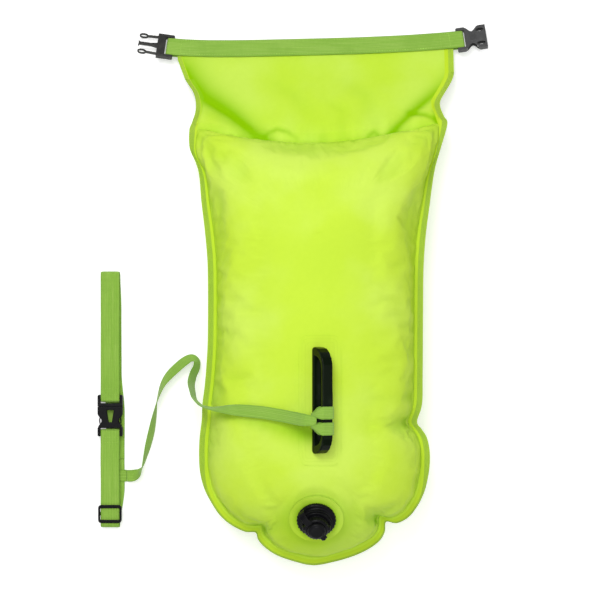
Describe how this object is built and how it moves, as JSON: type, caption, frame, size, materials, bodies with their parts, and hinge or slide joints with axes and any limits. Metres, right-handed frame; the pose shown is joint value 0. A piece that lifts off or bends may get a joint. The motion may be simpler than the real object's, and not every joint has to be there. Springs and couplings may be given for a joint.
{
  "type": "open water swim buoy",
  "caption": "Lime inflatable swim buoy with roll-top dry bag, carry handle, screw-in air valve and a webbing leash to a buckled waist belt.",
  "frame": {"origin": "on the table under the bag's back, on its centre line", "axes": "+X to the bag's right seen from the front, +Y to the roll top, +Z from the back to the front"},
  "size_m": [0.5176, 0.7102, 0.1979],
  "materials": {
    "lime_film": "satin coated film with a welded, lightly wrinkled surface",
    "rim_olive": "welded film edge with a knurled weld line",
    "strap_green": "flat woven webbing",
    "black_plastic": "moulded, satin",
    "grey_plastic": "moulded, satin, slightly lighter",
    "clear_rubber": "soft milky seal",
    "stiffener": "flat strip"
  },
  "bodies": {
    "bag": {"front_panel": "lime_film", "middle_panel": "lime_film", "back_panel": "lime_film", "edge_rim": "rim_olive", "neck_front": "lime_film", "neck_back": "lime_film", "handle_patch": "lime_film", "handle": "black_plastic", "valve_patch": "lime_film", "valve_base": "black_plastic", "leash_webbing": "strap_green", "leash_handle_hitch": "strap_green", "leash_belt_loop": "strap_green", "belt_webbing_lower": "strap_green", "belt_buckle_female": "grey_plastic"},
    "roll_flap": {"roll_flap_front": "lime_film", "roll_flap_back": "lime_film"},
    "hem": {"mouth_strip_front": "lime_film", "mouth_strip_back": "lime_film", "hem_webbing": "strap_green", "hem_stiffener": "stiffener"},
    "hem_male": {"hem_buckle_male": "black_plastic"},
    "hem_female": {"hem_buckle_female": "grey_plastic"},
    "valve_lift": {"valve_seal": "clear_rubber"},
    "valve_screw": {"valve_insert": "black_plastic", "valve_tether": "black_plastic"},
    "valve_disc": {"valve_flap": "clear_rubber"},
    "valve_plug": {"valve_cap": "black_plastic"},
    "belt_end": {"belt_buckle_male": "black_plastic", "belt_webbing_upper": "strap_green"},
    "slider": {"belt_slider": "black_plastic"}
  },
  "joints": [
    {"name": "roll_fold", "type": "hinge", "parent": "bag", "child": "roll_flap", "pos_m": [0.00118, 0.29786, 0.03592], "axis": [0.9997, 0.0244, 0], "range_deg": [0, 180]},
    {"name": "hem_fold", "type": "hinge", "parent": "roll_flap", "child": "hem", "pos_m": [0.00054, 0.32378, 0.01975], "axis": [0.9997, 0.0244, 0], "range_deg": [0, 180]},
    {"name": "hem_male_swing", "type": "hinge", "parent": "hem", "child": "hem_male", "pos_m": [-0.1941, 0.33552, 0.01069], "axis": [-0.1061, -0.9286, 0.3555], "range_deg": [-80, 80]},
    {"name": "hem_female_swing", "type": "hinge", "parent": "hem", "child": "hem_female", "pos_m": [0.19438, 0.34505, 0.01067], "axis": [-0.101, 0.9285, -0.3574], "range_deg": [-80, 80]},
    {"name": "valve_rise", "type": "slide", "parent": "bag", "child": "valve_lift", "axis": [0, -0.454, 0.891], "range_m": [0, 0.006]},
    {"name": "valve_turn", "type": "hinge", "parent": "valve_lift", "child": "valve_screw", "pos_m": [0.0004, -0.27337, 0.14242], "axis": [0, -0.454, 0.891], "range_deg": [0, 720]},
    {"name": "valve_disc_lift", "type": "slide", "parent": "valve_screw", "child": "valve_disc", "axis": [0, 0.454, -0.891], "range_m": [0, 0.0015], "stiffness_N_per_m": 20, "springref_m": -0.001},
    {"name": "cap_open", "type": "hinge", "parent": "valve_screw", "child": "valve_plug", "pos_m": [-0.01006, -0.27367, 0.16954], "axis": [-0.7547, -0.5846, -0.2978], "range_deg": [0, 150], "deforming": ["valve_tether"]},
    {"name": "belt_unclip", "type": "slide", "parent": "bag", "child": "belt_end", "axis": [0, 1, 0], "range_m": [0, 0.035]},
    {"name": "slider_move", "type": "slide", "parent": "bag", "child": "slider", "axis": [0, 1, 0], "range_m": [0, 0.05]}
  ],
  "couplings": [
    {"joint": "valve_rise", "follows": "valve_turn", "m_per_rad": 0.00047746}
  ]
}
